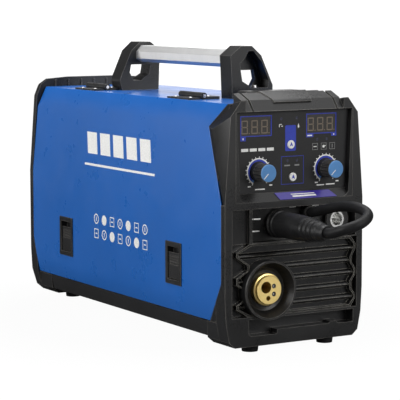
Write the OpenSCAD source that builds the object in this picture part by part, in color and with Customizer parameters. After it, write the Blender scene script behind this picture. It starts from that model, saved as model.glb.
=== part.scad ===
// Portable wire-feed welding machine: sheet-steel case with moulded front and rear, side door to the wire
// bay, carrying handle, control panel, two power sockets joined by a short lead, and a torch connector.
// Millimetres, +Z up. X runs across the machine, -Y is the front, Z = 0 is the floor under the feet.

/* [Case] */
// Width across the side panels
case_w = 174; // [164:1:190]
// Length from the front rim to the rear rim
case_l = 467; // [440:1:500]
// Height of the flat top above the floor
top_z = 262; // [255:1:270]
// Thickness of the folded sheet
sheet_t = 1.5; // [1:0.1:2]
// Wall of the front and rear mouldings
wall_t = 3; // [2.5:0.5:4]

/* [Front panel] */
// Distance of each knob from the middle of the panel
knob_x = 42.5; // [38:0.5:46]
// Height of the knobs
knob_z = 191; // [186:1:196]
// Radius of a knob
knob_r = 10; // [8:0.5:11]
// Length of a knob in front of the panel
knob_l = 20; // [14:1:24]
// Width of a three-digit display
display_w = 39; // [36:1:42]
// Height of a three-digit display
display_h = 22; // [20:1:24]

/* [Sockets] */
// Height of the two power sockets
socket_z = 134.5; // [132:0.5:137]
// Place of the positive socket across the machine
plus_x = 58; // [52:1:62]
// Place of the negative socket across the machine
minus_x = -17; // [-22:1:-12]
// Radius of the bore of a power socket
socket_bore_r = 6.6; // [6.5:0.1:7]
// Radius of the short power lead
lead_r = 5.5; // [5:0.5:6]

/* [Torch connector] */
// Place of the connector across the machine
torch_x = -34; // [-36:1:-28]
// Height of the connector
torch_z = 66; // [62:1:70]
// Outer radius of the moulded collar
collar_r = 32; // [30:0.5:33]
// Radius of the brass body
brass_r = 17; // [15:0.5:18]

/* [Handle] */
// Height of the top of the handle
handle_z = 319.5; // [310:0.5:325]
// Thickness of each handle bracket along the machine
bracket_t = 23; // [18:1:26]

/* [Wire bay] */
// Place of the spool axis behind the front rim
spool_d = 335; // [325:1:345]
// Height of the spool axis
spool_z = 138; // [134:1:142]
// Radius of the spool hub
hub_r = 25.2; // [24:0.1:25.5]
// Angle the door swings
door_open = 100; // [60:5:110]

/* [Hidden] */
$fn = 64;

c_black = [0.13, 0.13, 0.14];
c_blue = [0.16, 0.37, 0.72];
c_steel = [0.7, 0.7, 0.72];
c_alu = [0.82, 0.83, 0.84];
c_brass = [0.88, 0.7, 0.3];
c_rubber = [0.09, 0.09, 0.09];
c_white = [0.92, 0.92, 0.92];
c_purple = [0.25, 0.2, 0.55];
c_green = [0.1, 0.35, 0.2];

hw = case_w / 2;
// the front rim plane; everything below is placed by its distance d behind it
front_y = -case_l / 2 - 0.5;

// heights of the folds of the side panels, and how far each fold is inside the widest line
sill_z = 32;
knee_z = 51;
shoulder_z = 158;
brow_z = 238;
rim_z = 250.3;
visor_z = 266.2;
sill_in = 4;
brow_in = 7.7;
top_in = 18.4;

// front panel
panel_d = 6;
panel_t = 2;
panel_hw = 73.7;
panel_z0 = 168.8;
panel_z1 = 254.2;
display_z = 239;
display_left_x = -45.5;
display_right_x = 37;
button_r = 4.5;
mode_x = -2;
mode_z = 218;
cycle_x = 0.5;
cycle_z = 183.4;
led_r = 1.5;
led_at = [[-14, 245.5], [5.5, 246], [-4.5, 235.5], [-6, 201], [6, 201], [32, 222], [44, 222]];

// socket recess
recess_x0 = -54;
recess_x1 = 78;
recess_z0 = 117;
recess_z1 = 152.5;
recess_d = 12;
front_t = 16;
gland_x = 21;
gland_z = 144.5;
plug_end = -84;

// lower louvred front
grille_x0 = -78.4;
grille_x1 = 80;
grille_z0 = 38.8;
grille_z1 = 115.7;

// hinge line of the door
hinge_x = -48;
hinge_z = 266;
hinge_len = 50;
front_hinge_d = 107;
rear_hinge_d = 331.5;
knuckle_r = 3.6;
pin_r = 1.8;

// latches on the door
latch_w = 34;
latch_h = 47;
latch_z = 85;
front_latch_d = 107;
rear_latch_d = 366.5;
keeper_z = 58.4;

// handle
foot_z = 273.5;
front_bracket_d = 97.5;
rear_bracket_d = 324;

// wire bay
divider_x = -13;
divider_t = 2;
wire_x = torch_x - 4;
wire_z = torch_z + 3;
roll_d = 125;
roll_r = 15;
roller_r = 10;
roll_gap = 0.4;
arm_d = 152;
arm_z = 92;

// fan
fan_x = 36;
fan_z = 122;
fan_w = 92;
fan_d = 432;
fan_t = 22;

// power lead, from the plug sleeve round to the gland, as [x, d, z]
lead_pts = [[minus_x, plug_end, socket_z], [minus_x, -94, 136], [-11, -107, 140.5], [4, -112.5, 146],
    [19, -104, 151.5], [26, -87, 155.5], [27, -66, 157], [26, -40, 154.5], [23, -16, 148.5],
    [gland_x, 2, gland_z]];
lead_steps = 5;
lead_sides = 12;

feet_x = 48;
feet_d = [14, 428];

function half(i) = [[hw - sill_in - i, sill_z], [hw - i, knee_z], [hw - i, shoulder_z],
    [hw - brow_in - i, brow_z], [hw - top_in - 0.6 * i, top_z - i]];
function mirrored(p) = [for (k = [len(p) - 1 : -1 : 0]) [-p[k][0], p[k][1]]];
function section(i) = concat(half(i), mirrored(half(i)));
function rim_half(i) = [[hw - 12 - i, 7 + i], [hw - 5 - i, 13 + i], [hw - 1 - i, 33], [hw + 0.5 - i, 60],
    [hw + 0.5 - i, shoulder_z], [hw - 6.6 - i, rim_z], [hw - 19.2 - i / 2, visor_z - i]];
function rim(i) = concat(rim_half(i), mirrored(rim_half(i)));

// edge of the side panels where they meet the front moulding, as [d, z] from the top down
function front_edge(g) = [[25 - g, top_z + g], [46 - g, brow_z - 0.5], [8.5 - g, shoulder_z],
    [8.5 - g, 75.5], [21.5 - g, knee_z], [37.5 - g, sill_z - g]];
function rear_edge(g) = [[450 + g, sill_z - g], [450 + g, knee_z], [458.5 + g, 75], [458.5 + g, brow_z],
    [456.5 + g, top_z + g]];

function spline(a, b, c, e, t) = 0.5 * (2 * b + (c - a) * t + (2 * a - 5 * b + 4 * c - e) * t * t
    + (3 * b - a - 3 * c + e) * t * t * t);
function lead_pt(k) = lead_pts[max(0, min(len(lead_pts) - 1, k))];
lead_n = (len(lead_pts) - 1) * lead_steps;
function lead_at(u) = let (k = min(floor(u), len(lead_pts) - 2), t = u - k)
    spline(lead_pt(k - 1), lead_pt(k), lead_pt(k + 1), lead_pt(k + 2), t);
function unit(v) = v / norm(v);
function lead_dir(u) = u <= 0 ? [0, -1, 0] : u >= len(lead_pts) - 1 ? [0, 1, 0]
    : unit(lead_at(u + 0.02) - lead_at(u - 0.02));
function lead_side(u) = unit(cross(lead_dir(u), [0, 0, 1]));

module place() {
    translate([0, front_y, 0])
        children();
}

module along_y(d0, d1) {
    translate([0, d1, 0])
        rotate([90, 0, 0])
            linear_extrude(d1 - d0)
                children();
}

module along_x(x0, x1) {
    translate([x0, 0, 0])
        rotate([90, 0, 90])
            linear_extrude(x1 - x0)
                children();
}

module box(x0, x1, d0, d1, z0, z1) {
    translate([x0, d0, z0])
        cube([x1 - x0, d1 - d0, z1 - z0]);
}

module disc_y(x, z, r, d0, d1) {
    translate([x, d1, z])
        rotate([90, 0, 0])
            cylinder(r = r, h = d1 - d0);
}

module disc_x(d, z, r, x0, x1) {
    translate([x0, d, z])
        rotate([0, 90, 0])
            cylinder(r = r, h = x1 - x0);
}

// shape turned about a line along Y; the profile is [radius, d]
module turned_y(x, z) {
    translate([x, 0, z])
        rotate([-90, 0, 0])
            rotate_extrude()
                children();
}

// ---------- case ----------

module sheet_outline(side) {
    x0 = side < 0 ? -hw - 1 : hinge_x + 0.6;
    x1 = side < 0 ? hinge_x - 0.6 : hw + 1;
    intersection() {
        difference() {
            polygon(section(0));
            polygon(concat([[hw - sill_in - sheet_t, sill_z - 1]], half(sheet_t),
                mirrored(half(sheet_t)), [[-hw + sill_in + sheet_t, sill_z - 1]]));
        }
        translate([x0, sill_z])
            square([x1 - x0, top_z - sill_z + 1]);
    }
}

module side_outline(g) {
    polygon(concat(front_edge(g), rear_edge(g)));
}

module side_door() color(c_blue) place() {
    difference() {
        intersection() {
            along_y(0, case_l)
                sheet_outline(-1);
            along_x(-hw - 1, 0)
                side_outline(0);
        }
        for (d = [front_latch_d, rear_latch_d])
            box(-hw - 1, -hw + 3, d - 15.2, d + 15.2, latch_z - 21.7, latch_z + 21.7);
    }
}

module case_cover() color(c_blue) place() {
    difference() {
        intersection() {
            along_y(0, case_l)
                sheet_outline(1);
            along_x(hinge_x, hw + 1)
                side_outline(0);
        }
        // louvres beside the electronics
        for (k = [0 : 9])
            box(hw - 3, hw + 1, 250 + 14 * k, 256 + 14 * k, 90, 150);
        // holes for the handle screws
        for (p = concat(screw_down(), screw_up()))
            translate([p[0], p[1], top_z - 5])
                cylinder(r = 2.2, h = 10);
    }
}

// screws driven down through the window of a bracket, and up into its thick foot
function screw_down() = [[17.5, front_bracket_d + 12], [-17.5, rear_bracket_d + bracket_t - 12]];
function screw_up() = [[-10, front_bracket_d + 11], [10, rear_bracket_d + bracket_t - 11]];

module base_pan() color(c_black) place() {
    difference() {
        union() {
            box(-72, 72, 17, 450, 14, 15.5);
            along_y(44.8, 417.2)
                polygon([[-80, 14], [80, 14], [82.8, 31.2], [81.2, 31.2], [78.6, 15.5], [-78.6, 15.5],
                    [-81.2, 31.2], [-82.8, 31.2]]);
            // lip behind the foot of the door, just below the latch tongues
            along_y(60, 412)
                polygon([[-81.4, 27], [-81.1, 32], [-85, 51], [-85, keeper_z], [-83.8, keeper_z],
                    [-83.8, 51.2], [-79.9, 32], [-80, 27]]);
        }
        for (k = [0 : 7])
            box(5, 60, 230 + 16 * k, 236 + 16 * k, 13, 17);
    }
}

module rubber_feet() color(c_rubber) place() {
    for (x = [-feet_x, feet_x], d = feet_d)
        translate([x, d, 0])
            difference() {
                cylinder(r1 = 8.6, r2 = 9.5, h = 7);
                translate([0, 0, -1])
                    cylinder(r = 4, h = 3.5);
            }
}

module handle_screws() color(c_steel) place() {
    for (p = screw_up())
        translate([p[0], p[1], 0]) {
            translate([0, 0, top_z - sheet_t - 3])
                cylinder(r = 4, h = 3);
            translate([0, 0, top_z - sheet_t])
                cylinder(r = 1.95, h = 9);
        }
    for (p = screw_down())
        translate([p[0], p[1], 0]) {
            difference() {
                translate([0, 0, foot_z])
                    cylinder(r1 = 4.2, r2 = 3.4, h = 2.4);
                translate([0, 0, foot_z + 1])
                    cylinder(r = 1.8, h = 2, $fn = 6);
            }
            translate([0, 0, top_z - 6])
                cylinder(r = 2, h = foot_z - top_z + 6.1);
            translate([0, 0, top_z - sheet_t - 3.2])
                cylinder(r = 4, h = 3.2, $fn = 6);
        }
}

// ---------- front moulding ----------

// the space on the outer side of the plane through three points
module beyond(p, q, r) {
    u = unit(q - p);
    n = unit(cross(q - p, r - p));
    v = cross(n, u);
    multmatrix([[u[0], v[0], n[0], p[0]], [u[1], v[1], n[1], p[1]], [u[2], v[2], n[2], p[2]]])
        translate([-150, -150, 0])
            cube([300, 300, 60]);
}

// what is cut off the corner between the rim and a side panel: outer facet, bevel and slanted top
module brow_cut() {
    low = [-hw - 0.5, 0, shoulder_z];
    high = [-hw + 6.6, 0, rim_z];
    top = [-hw + 19.2, 0, visor_z];
    edge = [-hw + 2.8, 31.8, brow_z];
    sheet = [-hw + brow_in, 46, brow_z - 0.5];
    intersection() {
        box(-hw - 2, -62, -1, 47, shoulder_z, visor_z + 1);
        union() {
            beyond(low, high, edge);
            beyond(low, edge, sheet);
            beyond(top, sheet, high);
        }
    }
}

module front_rim() {
    difference() {
        union() {
            intersection() {
                along_y(0, 20)
                    polygon(rim(0));
                along_x(-hw - 2, hw + 2)
                    polygon([[0, 5], [0, visor_z], [18, top_z + 0.4], [21, top_z + 0.4], [21, 186],
                        [7.9, shoulder_z], [7.9, 75.5], [20.9, knee_z], [21, 5]]);
            }
            for (s = [0, 1])
                mirror([s, 0, 0])
                    intersection() {
                        box(-hw - 1, -62, 0, 46, shoulder_z, visor_z);
                        along_x(-hw - 2, 0)
                            polygon([[0, shoulder_z - 1], [0, visor_z], [24.4, top_z],
                                [45.4, brow_z - 0.5], [7.9, shoulder_z], [7.9, shoulder_z - 1]]);
                    }
        }
        for (s = [0, 1])
            mirror([s, 0, 0])
                brow_cut();
        // room in front of the visor
        along_x(-62, 62)
            polygon([[-1, 254.6], [0, 254.6], [9, visor_z], [9, visor_z + 2], [-1, visor_z + 2]]);
    }
}

module front_visor() {
    difference() {
        along_x(-62, 62)
            polygon([[0, 250], [0, 254.6], [9, visor_z], [26, top_z + 11.3], [28, top_z + 11.3],
                [28, top_z + 0.4], [12, top_z + 0.4], [12, 250]]);
        // room for the front edge of the door as it swings up
        for (s = [-1, 1])
            box(s * 55 - 9, s * 55 + 9, 24.5, 29, top_z - 1, top_z + 13);
    }
    // raised middle of the upper slope
    intersection() {
        along_x(-30, 30)
            polygon([[5.5, visor_z - 3.5], [4.7, visor_z - 2.7], [8.4, visor_z + 0.8],
                [25.6, top_z + 12.3], [26.4, top_z + 11.2]]);
        translate([0, 0, 250])
            linear_extrude(40)
                polygon([[-22, 0], [22, 0], [30, 27], [-30, 27]]);
    }
}

module front_flank() {
    intersection() {
        along_y(19, 46)
            difference() {
                polygon(section(0));
                polygon(section(wall_t));
            }
        along_x(-hw - 2, hw + 2)
            polygon([[18, top_z + 1], [24.4, top_z + 1], [24.4, top_z], [45.4, brow_z - 0.5],
                [18, 180]]);
    }
}

module front_heel() {
    intersection() {
        along_y(19, 37)
            difference() {
                polygon(section(0));
                polygon(section(wall_t));
            }
        along_x(-hw - 2, hw + 2)
            polygon([[18, sill_z - 1], [36.9, sill_z - 1], [36.9, sill_z], [20.9, knee_z], [18, knee_z]]);
    }
}

module front_skirt() {
    difference() {
        along_y(16, 44)
            polygon([[-hw + 12, 7], [hw - 12, 7], [hw - 5, 13], [hw - 4.2, 31.2], [-hw + 4.2, 31.2],
                [-hw + 5, 13]]);
        along_y(15, 45)
            polygon([[-hw + 14, 10], [hw - 14, 10], [hw - 8, 15], [hw - 7.2, 33], [-hw + 7.2, 33],
                [-hw + 8, 15]]);
    }
}

module front_hood() {
    difference() {
        along_y(24, 60)
            polygon([[-40, top_z + 0.4], [40, top_z + 0.4], [33, top_z + 11.3], [-33, top_z + 11.3]]);
        along_y(29, 58)
            polygon([[-36, top_z - 1], [36, top_z - 1], [30, top_z + 8.5], [-30, top_z + 8.5]]);
    }
}

module front_core() {
    along_y(4, front_t)
        polygon(concat([[hw - 14, 12]], half(2.6), mirrored(half(2.6)), [[-hw + 14, 12]]));
}

module front_bezel() color(c_black) place() {
    difference() {
        union() {
            front_rim();
            front_visor();
            front_flank();
            front_heel();
            front_skirt();
            front_hood();
            front_core();
        }
        // hollow behind the front wall
        along_y(front_t, 47)
            polygon([[-hw + 16, 11], [hw - 16, 11], [hw - 8, 31], [hw - 4, knee_z],
                [hw - 4, shoulder_z], [hw - 12, brow_z], [hw - 23, top_z - 4],
                [-hw + 23, top_z - 4], [-hw + 12, brow_z], [-hw + 4, shoulder_z], [-hw + 4, knee_z],
                [-hw + 8, 31]]);
        // pocket of the control panel with the sloping sill under it
        along_x(-74, 74)
            polygon([[-1, 254.5], [8, 254.5], [8, 168.5], [6, 168.5], [0, 159.5], [-1, 158]]);
        box(-70, 70, 7, front_t + 1, 173, 250);
        // recess round the power sockets, and the small pocket beside it
        box(recess_x0, recess_x1, -1, recess_d, recess_z0, recess_z1);
        box(-78.4, recess_x0 - 3, -1, 5, grille_z1 + 0.3, recess_z1);
        for (x = [minus_x, plus_x])
            disc_y(x, socket_z, 12.8, 8, front_t + 1);
        disc_y(gland_x, gland_z, 6, 8, front_t + 1);
        // seat of the louvred insert
        box(grille_x0 - 0.3, grille_x1 + 0.3, -1, front_t + 1, grille_z0 - 0.3, grille_z1 + 0.3);
        disc_y(torch_x, torch_z, collar_r + 0.3, -1, front_t + 1);
        // shadow recess over the bottom lip
        along_y(-1, 13)
            polygon([[-58, 36], [-58, 20], [-55, 18], [-22.4, 18], [-22.4, 22.8], [44, 22.8], [46, 25],
                [54, 25], [56, 22], [76, 22], [76, 36]]);
        // grooves across the visor
        for (x = [-53.2, 53.2])
            along_x(x - 1.3, x + 1.3)
                polygon([[-1, 253], [0.5, 253.6], [10.3, visor_z - 1], [26.5, top_z + 9.6],
                    [30, top_z + 9.6], [30, top_z + 13], [-1, top_z + 13]]);
    }
}

function zig_left(i) = [[-57 + i, grille_z1 - i], [-73 + i, 107.5 - 0.3 * i], [-73 + i, 102.5 + 0.3 * i],
    [-59 + i, 93 + 0.3 * i], [-59 + i, 88 - 0.3 * i], [-73 + i, 80.5 - 0.3 * i],
    [-73 + i, 73.5 + 0.3 * i], [-61 + i, 66.5 + 0.3 * i], [-61 + i, 58.5 - 0.3 * i],
    [-73 + i, 52 - 0.3 * i], [-73 + i, 47.5 + 0.3 * i], [-59 + i, grille_z0 + i]];
function zig_right(i) = [[73 - i, grille_z0 + i], [79 - i, 47.5 + 0.3 * i], [79 - i, 52 - 0.3 * i],
    [74 - i, 58.5 - 0.3 * i], [74 - i, 66.5 + 0.3 * i], [79 - i, 73.5 + 0.3 * i],
    [79 - i, 80.5 - 0.3 * i], [74 - i, 88 - 0.3 * i], [74 - i, 93 + 0.3 * i],
    [79 - i, 102.5 + 0.3 * i], [79 - i, 107.5 - 0.3 * i], [73 - i, grille_z1 - i]];

module front_grille() color(c_black) place() {
    difference() {
        union() {
            // back plate
            box(grille_x0, grille_x1, 7, 10, grille_z0, grille_z1);
            // raised zigzag border
            along_y(0.6, 7)
                difference() {
                    polygon(concat(zig_left(0), zig_right(0)));
                    polygon(concat(zig_left(2.2), zig_right(2.2)));
                }
            // cross ribs
            for (k = [0 : 4])
                along_x(k % 2 == 0 ? -70.5 : -56.5, k % 2 == 0 ? 76.5 : 71.5)
                    polygon([[7.1, 46.5 + 13.3 * k], [3, 48.2 + 13.3 * k], [2, 49.6 + 13.3 * k],
                        [3, 51 + 13.3 * k], [7.1, 52.7 + 13.3 * k]]);
        }
        disc_y(torch_x, torch_z, collar_r + 0.2, -1, 11);
    }
}

module torch_collar() color(c_black) place() {
    turned_y(torch_x, torch_z)
        polygon([[collar_r - 2.5, -6], [collar_r - 0.6, -6], [collar_r, -5.2], [collar_r, front_t],
            [brass_r + 0.3, front_t], [brass_r + 0.3, 7], [20, 7], [23, 5.5]]);
}

module torch_connector() color(c_brass) place() {
    difference() {
        union() {
            turned_y(torch_x, torch_z)
                polygon([[0, -2.5], [brass_r - 2.1, -2.5], [brass_r - 1.6, -2], [brass_r - 1.6, 1],
                    [brass_r, 1.6], [brass_r, front_t + 0.1],
                    [brass_r + 4, front_t + 0.1], [brass_r + 4, front_t + 5], [14, front_t + 5],
                    [14, 60], [0, 60]]);
            disc_y(wire_x, wire_z, 9.3, 59, 92);
        }
        disc_y(wire_x, wire_z, 6.3, -4, 93);
        disc_y(torch_x - 1.3, torch_z - 8.6, 2.6, -4, 20);
        for (s = [3.8, -4.6])
            disc_y(torch_x + 5.7, torch_z + s, 2.6, -4, 20);
    }
}

module torch_pins() color(c_steel) place() {
    for (s = [3.8, -4.6])
        translate([torch_x + 5.7, 0, torch_z + s])
            difference() {
                disc_y(0, 0, 2.5, -2.2, 19.5);
                disc_y(0, 0, 1.1, -3, 10);
            }
}

// ---------- control panel ----------

module control_panel() color(c_black) place() {
    difference() {
        box(-panel_hw, panel_hw, panel_d, panel_d + panel_t, panel_z0, panel_z1);
        for (x = [display_left_x, display_right_x])
            box(x - display_w / 2, x + display_w / 2, 5, 9, display_z - display_h / 2,
                display_z + display_h / 2);
        for (x = [-knob_x, knob_x])
            disc_y(x, knob_z, 3.8, 5, 9);
        disc_y(mode_x, mode_z, button_r + 0.3, 5, 9);
        disc_y(cycle_x, cycle_z, button_r + 0.3, 5, 9);
        for (p = led_at)
            disc_y(p[0], p[1], led_r + 0.1, 5, 9);
    }
}

module control_board() color(c_green) place() {
    box(-69, 69, 19, 20.6, 174, 249);
    for (p = [[mode_x, mode_z], [cycle_x, cycle_z]])
        box(p[0] - 3, p[0] + 3, 15, 19.1, p[1] - 3, p[1] + 3);
    for (x = [-20, 8, 24])
        box(x - 5, x + 5, 20.5, 23, 205, 215);
}

module display(x) {
    box(x - display_w / 2 + 0.2, x + display_w / 2 - 0.2, 6.5, 19, display_z - display_h / 2 + 0.2,
        display_z + display_h / 2 - 0.2);
}

module display_left() color([0.25, 0.22, 0.2]) place() display(display_left_x);

module display_right() color([0.25, 0.22, 0.2]) place() display(display_right_x);

module led_indicators() color([0.3, 0.2, 0.2]) place() {
    for (p = led_at) {
        disc_y(p[0], p[1], led_r, 6.2, 19);
        disc_y(p[0], p[1], led_r + 0.4, 8.5, 11);
    }
}

module potentiometers() color(c_steel) place() {
    for (x = [-knob_x, knob_x])
        difference() {
            union() {
                disc_y(x, knob_z, 8.5, 10, 19);
                disc_y(x, knob_z, 3.6, 6.4, 11);
            }
            disc_y(x, knob_z, 3.06, 5, 17);
        }
}

module knob(x) {
    difference() {
        union() {
            translate([x, 1.4, knob_z])
                rotate([90, 0, 0])
                    linear_extrude(14.4)
                        difference() {
                            circle(r = knob_r - 0.4);
                            for (k = [0 : 15])
                                rotate(22.5 * k)
                                    translate([knob_r, 0])
                                        circle(r = 0.9);
                        }
            turned_y(x, knob_z)
                polygon([[0, 1.3], [knob_r - 0.3, 1.3], [knob_r, 3.5], [knob_r, 5.2], [0, 5.2]]);
            disc_y(x, knob_z, 3, 5, 16);
        }
        disc_y(x, knob_z, knob_r - 2, -14, -12);
    }
}

module knob_cap(x) {
    difference() {
        turned_y(x, knob_z)
            polygon([[0, -14.2], [knob_r - 1.2, -14.2], [knob_r - 0.8, -13.8], [knob_r - 0.8, -13],
                [knob_r - 2, -13], [knob_r - 2, -12], [0, -12]]);
        translate([x, 0, knob_z])
            rotate([0, -45, 0])
                box(-knob_r + 1.5, -1, -15, -13.9, -0.5, 0.5);
    }
}

module voltage_knob() color(c_black) place() knob(-knob_x);

module current_knob() color(c_black) place() knob(knob_x);

module voltage_knob_cap() color([0.4, 0.6, 0.85]) place() knob_cap(-knob_x);

module current_knob_cap() color([0.4, 0.6, 0.85]) place() knob_cap(knob_x);

module push_button(x, z) {
    turned_y(x, z)
        polygon([[0, 4.8], [button_r - 0.6, 4.8], [button_r, 5.3], [button_r, 9],
            [button_r + 1.2, 9], [button_r + 1.2, 10.5], [1.5, 10.5], [1.5, 14], [0, 14]]);
}

module mode_button() color(c_white) place() push_button(mode_x, mode_z);

module cycle_button() color(c_white) place() push_button(cycle_x, cycle_z);

module badge_plate() color(c_purple) place() {
    translate([0, 0, 159.5])
        rotate([-33.69, 0, 0])
            translate([0, -0.8, 0])
                rotate([90, 0, 0])
                    translate([0, 0, -0.8])
                        linear_extrude(0.8)
                            polygon([[-19, 0.8], [54, 0.8], [46, 9.6], [-24, 9.6]]);
}

// ---------- power sockets and lead ----------

module panel_socket(x) {
    difference() {
        turned_y(x, socket_z)
            polygon([[9.2, 5], [13.8, 5], [15, 6.2], [15, recess_d], [12.5, recess_d],
                [12.5, front_t + 0.2], [15.5, front_t + 0.2], [15.5, front_t + 4], [12.5, front_t + 4],
                [12.5, 34], [9.2, 34]]);
        box(x - 1.5, x + 1.5, 4, 12, socket_z + 9, socket_z + 11.5);
    }
}

module socket_contact(x) {
    difference() {
        turned_y(x, socket_z)
            polygon([[socket_bore_r, 5.6], [9, 5.6], [9, 34.2], [12, 34.2], [12, 38], [4, 38],
                [4, 50], [0, 50], [0, 32], [socket_bore_r, 32]]);
        box(x - 1.6, x + 1.6, 4, 14, socket_z + 5, socket_z + 9.4);
    }
}

module positive_socket() color(c_black) place() panel_socket(plus_x);

module negative_socket() color(c_black) place() panel_socket(minus_x);

module positive_contact() color(c_brass) place() socket_contact(plus_x);

module negative_contact() color(c_brass) place() socket_contact(minus_x);

module plug_sleeve() color(c_rubber) place() {
    turned_y(minus_x, socket_z)
        polygon([[6.2, 4.4], [14, 4.4], [14.4, 3.4], [14.4, 0], [13.6, -1], [13, -1.4], [13, -3],
            [13.9, -4], [13.7, -34], [12.9, -49], [13.1, -50], [12.5, -53], [11.3, -54],
            [11.3, -55.5], [12.1, -56.5], [11.5, -59.5], [10.3, -60.5], [10.3, -62], [11.1, -63],
            [10.5, -66], [9.4, -67], [9.4, -68.5], [10.2, -69.5], [9.7, -72.5], [8.6, -74],
            [8.1, -81], [7.3, plug_end], [0, plug_end], [0, -70], [6.2, -70]]);
}

module plug_pin() color(c_brass) place() {
    turned_y(minus_x, socket_z)
        polygon([[0, -60], [6, -60], [6, 4], [6.5, 5], [6.5, 27], [5, 29], [0, 29]]);
}

module lead_gland() color(c_black) place() {
    turned_y(gland_x, gland_z)
        polygon([[5.6, 2.2], [6.6, 2.2], [7.4, 4], [7.4, recess_d], [5.9, recess_d], [5.9, front_t + 1],
            [7.4, front_t + 1], [7.4, front_t + 3], [0, front_t + 3], [0, 2.1], [5.6, 2.1]]);
}

module polarity_lead() color(c_rubber) place() {
    rings = [for (k = [0 : lead_n]) let (u = k / lead_steps, p = lead_at(u), s = lead_side(u),
        v = cross(s, lead_dir(u))) for (j = [0 : lead_sides - 1])
            p + lead_r * (cos(360 * j / lead_sides) * s + sin(360 * j / lead_sides) * v)];
    skin = [for (k = [0 : lead_n - 1]) for (j = [0 : lead_sides - 1])
        let (a = k * lead_sides, b = a + lead_sides, q = (j + 1) % lead_sides)
            [a + j, a + q, b + q, b + j]];
    first = [for (j = [lead_sides - 1 : -1 : 0]) j];
    last = [for (j = [0 : lead_sides - 1]) lead_n * lead_sides + j];
    polyhedron(points = rings, faces = concat(skin, [first, last]));
}

// ---------- door fittings ----------

module latch_frame(d) {
    difference() {
        union() {
            box(-hw - 1.2, -hw, d - latch_w / 2, d + latch_w / 2, latch_z - latch_h / 2,
                latch_z + latch_h / 2);
            box(-hw - 0.1, -hw + 9, d - 15, d + 15, latch_z - 21.5, latch_z + 21.5);
        }
        box(-hw - 2, -hw + 7, d - 12.5, d + 12.5, latch_z - 18, latch_z + 18);
        // slot for the tongue
        box(-hw + 3, -hw + 6.2, d - 8.2, d + 8.2, latch_z - 30, latch_z);
    }
}

module latch_slider(d) {
    difference() {
        box(-hw + 0.4, -hw + 2.8, d - 12, d + 12, latch_z - 17.5, latch_z + 11.5);
        for (k = [0 : 3])
            box(-hw, -hw + 1, d - 9, d + 9, latch_z - 2 + 3 * k, latch_z - 0.6 + 3 * k);
    }
    box(-hw + 2.7, -hw + 6.8, d - 8, d + 8, latch_z - 17, latch_z - 6);
    box(-hw + 3.4, -hw + 5.8, d - 8, d + 8, latch_z - 26, latch_z - 16);
}

module front_latch_frame() color(c_black) place() latch_frame(front_latch_d);

module rear_latch_frame() color(c_black) place() latch_frame(rear_latch_d);

module front_latch_slider() color(c_black) place() latch_slider(front_latch_d);

module rear_latch_slider() color(c_black) place() latch_slider(rear_latch_d);

module knuckle(d0, d1) {
    difference() {
        disc_y(hinge_x, hinge_z, knuckle_r, d0, d1);
        disc_y(hinge_x, hinge_z, pin_r + 0.05, d0 - 1, d1 + 1);
    }
}

module hinge_case_leaf(d, w) {
    box(hinge_x + 5, hinge_x + w, d, d + hinge_len, top_z, top_z + 3);
    for (s = [0, 33.7]) {
        difference() {
            box(hinge_x, hinge_x + 6, d + s, d + s + 16.3, top_z + 0.4, top_z + 2.6);
            disc_y(hinge_x, hinge_z, pin_r + 0.05, d - 1, d + hinge_len + 1);
        }
        knuckle(d + s, d + s + 16.3);
    }
}

module hinge_door_leaf(d) {
    box(hinge_x - 18, hinge_x - 5, d, d + hinge_len, top_z, top_z + 2);
    difference() {
        box(hinge_x - 6, hinge_x, d + 16.6, d + 33.4, top_z + 0.4, top_z + 2.6);
        disc_y(hinge_x, hinge_z, pin_r + 0.05, d, d + hinge_len);
    }
    knuckle(d + 16.6, d + 33.4);
}

module front_hinge_case_leaf() color(c_black) place() hinge_case_leaf(front_hinge_d, 19.5);

module rear_hinge_case_leaf() color(c_black) place() hinge_case_leaf(rear_hinge_d, 15);

module front_hinge_door_leaf() color(c_black) place() hinge_door_leaf(front_hinge_d);

module rear_hinge_door_leaf() color(c_black) place() hinge_door_leaf(rear_hinge_d);

module hinge_pins() color(c_steel) place() {
    for (d = [front_hinge_d, rear_hinge_d])
        disc_y(hinge_x, hinge_z, pin_r, d - 0.8, d + hinge_len + 0.8);
}

// ---------- handle ----------

module bracket() {
    difference() {
        along_y(0, bracket_t)
            polygon([[-17.8, top_z], [32, top_z], [34.5, 271], [34.6, 276], [19.6, 309],
                [7.4, handle_z], [-6.6, handle_z], [-20.2, 309], [-19, 292]]);
        // window through the lower half, over the foot
        along_y(-1, bracket_t + 1)
            polygon([[-7, 292.5], [-5, 281], [2.7, 276.6], [5.9, foot_z], [16.5, foot_z],
                [21.8, 282.8], [19.9, 292.5]]);
        // pocket in the outer face round the window
        along_y(-1, 16.5)
            polygon([[-8, 300.6], [-7, 292], [-5, 281], [2.7, 276.6], [5.9, foot_z], [28.4, foot_z],
                [29.7, 281.6], [20.4, 302.1], [9.5, 314], [3, 314], [-1.5, 306.4]]);
        // holes for the screws
        translate([17.5, 12, top_z - 1])
            cylinder(r = 2.2, h = foot_z - top_z + 2);
        translate([-10, 11, top_z - 1])
            cylinder(r = 2, h = 8.6);
    }
}

module front_handle_bracket() color(c_black) place() {
    translate([0, front_bracket_d, 0])
        bracket();
}

module rear_handle_bracket() color(c_black) place() {
    translate([0, rear_bracket_d + bracket_t, 0])
        rotate([0, 0, 180])
            bracket();
}

module handle_bar() color(c_alu) place() {
    along_y(front_bracket_d + bracket_t, rear_bracket_d)
        polygon([[-6.5, 295.5], [6.5, 295.5], [13, 299.6], [13, 308.2], [6.5, 315.3], [-6.5, 315.3],
            [-13, 308.2], [-13, 299.6]]);
}

// ---------- rear ----------

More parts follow.
